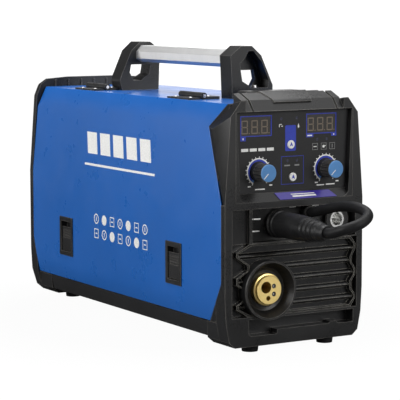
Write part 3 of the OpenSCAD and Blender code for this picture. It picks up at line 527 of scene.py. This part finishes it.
# ---------- control panel print ----------

PANEL_D = (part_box("control_panel")[0].y / MM) - FRONT
GLASS_D = (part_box("display_left")[0].y / MM) - FRONT
KNOBS = (-42.5, 42.5)
KNOB_Z = 191.0
KNOB_FACE_D = -13.85


def dial_scale(cx):
    """White scale with outward teeth, open at the lower left."""
    start, end, gaps = -50.0, 240.0, 17
    out = [ring(cx, KNOB_Z, 13.1, 14.5, start, end, 60)]
    for k in range(gaps + 1):
        a = math.radians(start + (end - start) * k / gaps)
        along = Vector((math.cos(a), math.sin(a)))
        side = Vector((-along.y, along.x)) * 0.45
        foot, tip = Vector((cx, KNOB_Z)) + along * 14.4, Vector((cx, KNOB_Z)) + along * 16.1
        corners = (foot - side, tip - side * 0.8, tip + side * 0.8, foot + side)
        out.append([tuple(c) for c in corners])
    return out


def make_panel_print():
    """Everything printed on the panel's film, in its own colours."""
    white, blue, pale, grey = [], [], [], []
    for cx in KNOBS:
        white += dial_scale(cx)
        blue.append(ring(cx, KNOB_Z, 11.0, 13.0, -50, 226, 60))
        pale.append(ring(cx, KNOB_Z, 10.6, 13.0, 226, 240, 6))
        white += [bar(cx - 13.4, 175.2, cx - 9.6, 176.5), bar(cx + 13.4, 175.6, cx + 17.2, 176.9)]
    white += [bar(-46.8, 171.8, -34.6, 173.0), bar(31.4, 172.4, 41.0, 173.6), bar(43.2, 172.7, 54.6, 173.9)]
    # blue strip that holds the mode key, with its lamp
    blue.append(rounded(-9.2, 211.2, 4.4, 238.4, 1.6))
    # box round the cycle key and its two lamps
    blue += frame_parts(-14.2, 175.8, 14.4, 205.8, 0.5)
    grey += [bar(-10.2, 195.2, -3.0, 196.6), bar(2.8, 195.2, 8.8, 196.6)]
    # plain bars where the machine's type is printed
    white += [bar(-64.0 + 10.6 * k, 212.6, -55.4 + 10.6 * k, 215.8) for k in range(4)]
    # three process signs
    for x in (29.0, 40.2, 51.2):
        grey += frame_parts(x - 3.5, 210.8, x + 3.5, 218.0, 0.45)
    white += [bar(27.0, 213.9, 31.0, 214.9), arc(1.5, 0, 360, 20, 40.0, 214.2)[:-1]]
    white.append(bar(41.2, 214.6, 42.8, 215.4))
    grey.append(bar(50.7, 212.4, 51.7, 216.4))
    # trigger and drop signs beside the strip
    white += [bar(-17.0, 236.8, -16.2, 240.0), bar(-17.0, 239.3, -13.6, 240.0)]
    white.append(bar(-14.0, 237.4, -12.2, 238.2))
    white += [[(6.6, 236.0), (7.6, 235.2), (8.6, 236.0), (8.6, 237.4), (7.6, 240.2), (6.6, 237.4)]]
    # tabs under the displays
    blue += [bar(-65.0, 223.8, -58.4, 228.1), bar(17.5, 224.7, 26.6, 228.1), bar(49.8, 225.0, 56.5, 228.1)]
    place = on_front(PANEL_D)
    prints("panel_print_blue", blue, "blue ink", place)
    prints("panel_print_pale", pale, "pale blue ink", place)
    prints("panel_print_grey", grey, "grey ink", place)
    white += [bar(-62.4, 225.0, -61.0, 227.0), bar(19.0, 225.8, 25.0, 227.2), bar(52.4, 226.0, 53.8, 227.6)]
    prints("panel_print_white", white, "white ink", on_front(PANEL_D - 0.02))


def key_arrow(x, z, name, body):
    """Blue arrow on a round key."""
    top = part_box(name)[0].y / MM - FRONT
    prints(name + "_arrow", [[(x, z + 2.9), (x - 2.2, z - 2.1), (x, z - 0.9), (x + 2.2, z - 2.1)]],
           "blue ink", on_front(top), body)


def seven_segment(x, z, w, h, t):
    """The seven bars of one digit, lower-left corner at x, z."""
    gap = 0.25
    half = h / 2
    out = [bar(x + t, z + y, x + w - t, z + y + t) for y in (0.0, half - t / 2, h - t)]
    for left in (x, x + w - t):
        out.append(bar(left, z + gap, left + t, z + half - gap))
        out.append(bar(left, z + half + gap, left + t, z + h - gap))
    return out


def make_displays():
    for name, first, z in (("display_left", -63.4, 230.9), ("display_right", 19.6, 231.2)):
        lo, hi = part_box(name)
        x0, x1 = lo.x / MM, hi.x / MM
        z0, z1 = lo.z / MM, hi.z / MM
        place = on_front(GLASS_D)
        digits = [s for k in range(3) for s in seven_segment(first + 12.3 * k, z, 7.9, 14.4, 1.25)]
        digits += [arc(0.7, 0, 360, 16, first + 12.3 * k + 9.6, z + 0.7)[:-1] for k in range(3)]
        prints(name + "_segments", digits, "segment", place, lift=0.05)
        border = frame_parts(x0 - 0.1, z0 - 0.1, x1 + 0.1, z1 + 0.1, 0.95)
        prints(name + "_border", border, "blue ink", place, lift=0.4)


def make_pointers():
    """White line let into each knob's cap."""
    for cx, name in zip(KNOBS, ("voltage", "current")):
        a = math.radians(225)
        along, side = Vector((math.cos(a), math.sin(a))), Vector((-math.sin(a), math.cos(a))) * 0.42
        start, end = Vector((cx, KNOB_Z)) + along * 0.6, Vector((cx, KNOB_Z)) + along * 8.3
        outline = [tuple(start - side), tuple(end - side), tuple(end + side), tuple(start + side)]
        place = on_front(KNOB_FACE_D)
        prints(name + "_pointer", [outline], "white ink", place, name + "_control", lift=0.3)


make_panel_print()
key_arrow(-2, 218, "mode_button", "mode_key")
key_arrow(0.5, 183.4, "cycle_button", "cycle_key")
make_displays()
make_pointers()

# ---------- corners of the panel's pocket ----------


def make_pocket_corners():
    """Slanted sides and round lower corners of the pocket round the control panel."""
    round_corner = arc(7.0, 262, 180, 6, -61.6, 167.4)
    side = [(-74.2, 159.4), (-62.5, 159.4)] + round_corner + [(-72.6, 254.4), (-74.2, 254.4)]
    right = [(-u, v) for u, v in reversed(side)]
    place = on_front(PANEL_D - 0.05)
    corners = prints("pocket_corners", [side, right], "moulding", place, lift=5.9)
    soften(corners, 0.7)


make_pocket_corners()

# ---------- marks by the sockets ----------

RECESS_D = 12.0


def make_socket_marks():
    """Minus and plus signs by the sockets and two short label lines, on the back wall of the recess."""
    marks = [bar(0.4, 150.0, 8.4, 151.1), bar(30.0, 149.9, 38.2, 151.0), bar(33.6, 146.4, 34.7, 151.6)]
    marks += [bar(-49.0, 139.8, -45.6, 141.2), bar(-44.8, 139.6, -36.0, 141.0)]
    marks.append(bar(-49.0, 126.8, -37.4, 128.2))
    # the marks take the whiter ink, painted light against the recess's shade
    prints("polarity_marks", marks, "shade-lifting white ink", on_front(RECESS_D))


make_socket_marks()

# ---------- side print ----------

DOOR_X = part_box("side_door")[0].x / MM
SHOULDER_Z, BROW_Z, BROW_IN = 158.0, 238.0, 7.7


def on_door(u, v, w):
    """u is the distance behind the front rim and v the height; the upper part of the door leans inwards."""
    lean = max(0.0, v - SHOULDER_Z) * BROW_IN / (BROW_Z - SHOULDER_Z)
    return at(DOOR_X + lean - w, u, v)


def make_side_print():
    """Plain white shapes: five slanted blocks, a line under them and two rows of simple signs."""
    white = []
    for k in range(5):
        d0 = 314 - 32 * k
        white.append([(d0, 190), (d0 - 24, 190), (d0 - 18, 215), (d0 + 6, 215)])
    white.append(bar(152, 176, 320, 178.6))
    for row, z in enumerate((114.6, 97.3)):
        for k in range(7):
            d = 288.4 - 19.5 * k
            kind = (k + 2 * row) % 3
            if kind == 0:
                white += [ring(d, z, 4.6, 5.9), bar(d - 0.7, z - 2.6, d + 0.7, z + 2.6)]
            elif kind == 1:
                white.append(arc(5.9, 0, 360, 40, d, z)[:-1])
            else:
                white += frame_parts(d - 5.2, z - 5.6, d + 5.2, z + 5.6, 1.0)
                white.append(bar(d - 2.4, z - 0.7, d + 2.4, z + 0.7))
    prints("side_print", white, "white ink", on_door, "door", lift=0.1)


make_side_print()

# ---------- badge ----------


BADGE_LEAN = -33.69  # degrees
BADGE_FOOT_Z = 159.5


def on_badge(u, v, w):
    """u is across, v up the slope of the badge plate and w away from its face."""
    a = math.radians(BADGE_LEAN)
    y, z = -0.8 - w, v
    return at(u, y * math.cos(a) - z * math.sin(a), BADGE_FOOT_Z + y * math.sin(a) + z * math.cos(a))


def make_badge_stripes():
    """Two slanted white bars on the badge plate."""
    low = [(-2, 3.2), (28, 3.2), (27, 5.0), (-3, 5.0)]
    high = [(-3.6, 6.0), (26.4, 6.0), (25.8, 7.0), (-4.2, 7.0)]
    prints("badge_stripes", [low, high], "white ink", on_badge)


make_badge_stripes()

# ---------- rivets ----------


def dome(mesh, centre, radius, height, rings=4, sides=20):
    """Low round head on a horizontal face."""
    loops = []
    for k in range(rings + 1):
        a = math.pi / 2 * k / rings
        r, h = radius * math.cos(a), height * math.sin(a)
        if k == rings:
            top = mesh.verts.new(at(centre[0], centre[1], centre[2] + height))
            break
        loops.append([mesh.verts.new(at(centre[0] + r * math.cos(2 * math.pi * j / sides),
                                        centre[1] + r * math.sin(2 * math.pi * j / sides), centre[2] + h))
                      for j in range(sides)])
    for a, b in zip(loops, loops[1:]):
        for j in range(sides):
            mesh.faces.new((a[j], a[(j + 1) % sides], b[(j + 1) % sides], b[j])).smooth = True
    for j in range(sides):
        mesh.faces.new((loops[-1][j], loops[-1][(j + 1) % sides], top)).smooth = True
    mesh.faces.new(loops[0][::-1])


RIVET_RADIUS, RIVET_HEIGHT = 2.1, 0.9
LEAVES = (("door_leaf", -60, 264.0, "door"), ("case_leaf", -37.5, 265.0, "case"))


def make_rivets():
    """Two round heads on each leaf of the hinges."""
    for end in ("front", "rear"):
        for leaf, x, z, body in LEAVES:
            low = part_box(f"{end}_hinge_{leaf}")[0]
            mesh = bmesh.new()
            for d in (9, 41):
                dome(mesh, (x, low.y / MM - FRONT + d, z), RIVET_RADIUS, RIVET_HEIGHT)
            piece(f"{end}_{leaf}_rivets", mesh, "steel", body)


def make_contacts():
    """Bright contact in the middle of each small pin of the torch socket."""
    lo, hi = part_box("torch_pins")
    middle = (lo.x + hi.x) / 2 / MM
    for k, z in enumerate((lo.z / MM + 2.5, hi.z / MM - 2.5)):
        disc = arc(1.15, 0, 360, 20, middle, z)[:-1]
        prints(f"contact_{k + 1}", [disc], "tinned", on_front(3.0), lift=4.4)


make_rivets()
make_contacts()

# ---------- stage ----------

DIM = 0.10  # the studio away from its patches
# direction, cosine where the patch starts, cosine where it is full, strength; below zero it darkens
GLOWS = [((0.52, 0.84, 0.10), 0.93, 0.985, 1.2), ((-0.80, 0.60, 0.01), 0.955, 0.98, 4.8),
         ((-0.85, -0.52, 0.08), 0.94, 0.985, 0.7), ((0.5, -0.84, 0.14), 0.90, 0.97, 2.0),
         ((0.50, -0.32, 0.80), 0.93, 0.98, 1.6), ((0.05, 0.96, 0.26), 0.93, 0.985, -0.08)]
PAPER = 1.04
FLOOR_SIZE = 6.0
FLOOR_TONE = (-2.2, 0.2, 0.42, 0.05)  # in front, behind, and the greys there
NEAR_SHARE = (0.2, 0.55, 0.93, 1.0)  # how far out the shadow fades, and the share of paper white there


def ramp(tree, value, numbers):
    """A clamped Map Range of value; numbers are from low, from high, to low, to high."""
    node = tree.nodes.new("ShaderNodeMapRange")
    node.clamp = True
    for socket, number in zip(RANGE, numbers):
        node.inputs[socket].default_value = number
    tree.links.new(value, node.inputs["Value"])
    return node.outputs["Result"]


def make_floor():
    """Plain pale floor."""
    mesh = bmesh.new()
    bmesh.ops.create_grid(mesh, x_segments=4, y_segments=4, size=FLOOR_SIZE)
    data = bpy.data.meshes.new("floor")
    mesh.to_mesh(data)
    mesh.free()
    floor = bpy.data.objects.new("floor", data)
    floor.location = (0.0, 0.0, -0.0002)
    bpy.context.scene.collection.objects.link(floor)
    data.materials.append(floor_material())


def floor_material():
    """White paper to the camera, with a faint shadow near the machine; to other rays darker behind it."""
    material = bpy.data.materials.new("pale floor")
    material.use_nodes = True
    tree = material.node_tree
    bsdf = tree.nodes["Principled BSDF"]
    bsdf.inputs["Roughness"].default_value = 0.9
    bsdf.inputs["Specular IOR Level"].default_value = 0.0
    paper = tree.nodes.new("ShaderNodeEmission")
    paper.inputs["Color"].default_value = (1.0, 1.0, 1.0, 1.0)
    paper.inputs["Strength"].default_value = PAPER
    where = tree.nodes.new("ShaderNodeTexCoord").outputs["Object"]
    split = tree.nodes.new("ShaderNodeSeparateXYZ")
    tree.links.new(where, split.inputs[0])
    tree.links.new(ramp(tree, split.outputs["Y"], FLOOR_TONE), bsdf.inputs["Base Color"])
    far = tree.nodes.new("ShaderNodeVectorMath")
    far.operation = "LENGTH"
    tree.links.new(where, far.inputs[0])
    path = tree.nodes.new("ShaderNodeLightPath")
    share = tree.nodes.new("ShaderNodeMath")
    share.operation = "MULTIPLY"
    tree.links.new(ramp(tree, far.outputs["Value"], NEAR_SHARE), share.inputs[0])
    tree.links.new(path.outputs["Is Camera Ray"], share.inputs[1])
    both = tree.nodes.new("ShaderNodeMixShader")
    tree.links.new(share.outputs["Value"], both.inputs[0])
    tree.links.new(bsdf.outputs[0], both.inputs[1])
    tree.links.new(paper.outputs[0], both.inputs[2])
    tree.links.new(both.outputs[0], tree.nodes["Material Output"].inputs["Surface"])
    return material


def glow(tree, towards, start, full, strength):
    """A soft bright patch of the surroundings in one direction."""
    where = tree.nodes.new("ShaderNodeTexCoord")
    dot = tree.nodes.new("ShaderNodeVectorMath")
    dot.operation = "DOT_PRODUCT"
    tree.links.new(where.outputs["Generated"], dot.inputs[0])
    dot.inputs[1].default_value = Vector(towards).normalized()
    return ramp(tree, dot.outputs["Value"], (start, full, 0.0, strength))


def make_world():
    """Pure white behind the machine for the camera, and a dim studio with patches for other rays."""
    world = bpy.data.worlds.new("studio")
    bpy.context.scene.world = world
    world.use_nodes = True
    tree = world.node_tree
    background = tree.nodes["Background"]
    background.inputs["Color"].default_value = (1.0, 1.0, 1.0, 1.0)
    total = None
    for patch in GLOWS:
        value = glow(tree, *patch)
        add = tree.nodes.new("ShaderNodeMath")
        add.operation = "ADD"
        tree.links.new(value, add.inputs[0])
        if total is None:
            add.inputs[1].default_value = DIM
        else:
            tree.links.new(total, add.inputs[1])
        total = add.outputs["Value"]
    path = tree.nodes.new("ShaderNodeLightPath")
    pick = tree.nodes.new("ShaderNodeMix")
    tree.links.new(path.outputs["Is Camera Ray"], pick.inputs["Factor"])
    tree.links.new(total, pick.inputs["A"])
    pick.inputs["B"].default_value = 1.2
    tree.links.new(pick.outputs["Result"], background.inputs["Strength"])


def softbox(name, place, aim, size, power):
    data = bpy.data.lights.new(name, "AREA")
    data.shape = "RECTANGLE"
    data.size, data.size_y = size
    data.energy = power
    light = bpy.data.objects.new(name, data)
    light.location = place
    light.rotation_mode = "QUATERNION"
    light.rotation_quaternion = (Vector(aim) - Vector(place)).to_track_quat("-Z", "Y")
    bpy.context.scene.collection.objects.link(light)


make_floor()
make_world()
softbox("top box", (0.1, 0.3, 1.9), (0.0, 0.0, 0.1), (1.7, 1.7), 50)
softbox("left box", (-2.2, -0.3, 1.1), (0.0, 0.0, 0.15), (1.5, 1.3), 41)
softbox("front box", (0.7, -2.4, 1.2), (0.0, -0.2, 0.15), (1.2, 0.9), 24)

scene = bpy.context.scene
scene.view_settings.view_transform = "Standard"
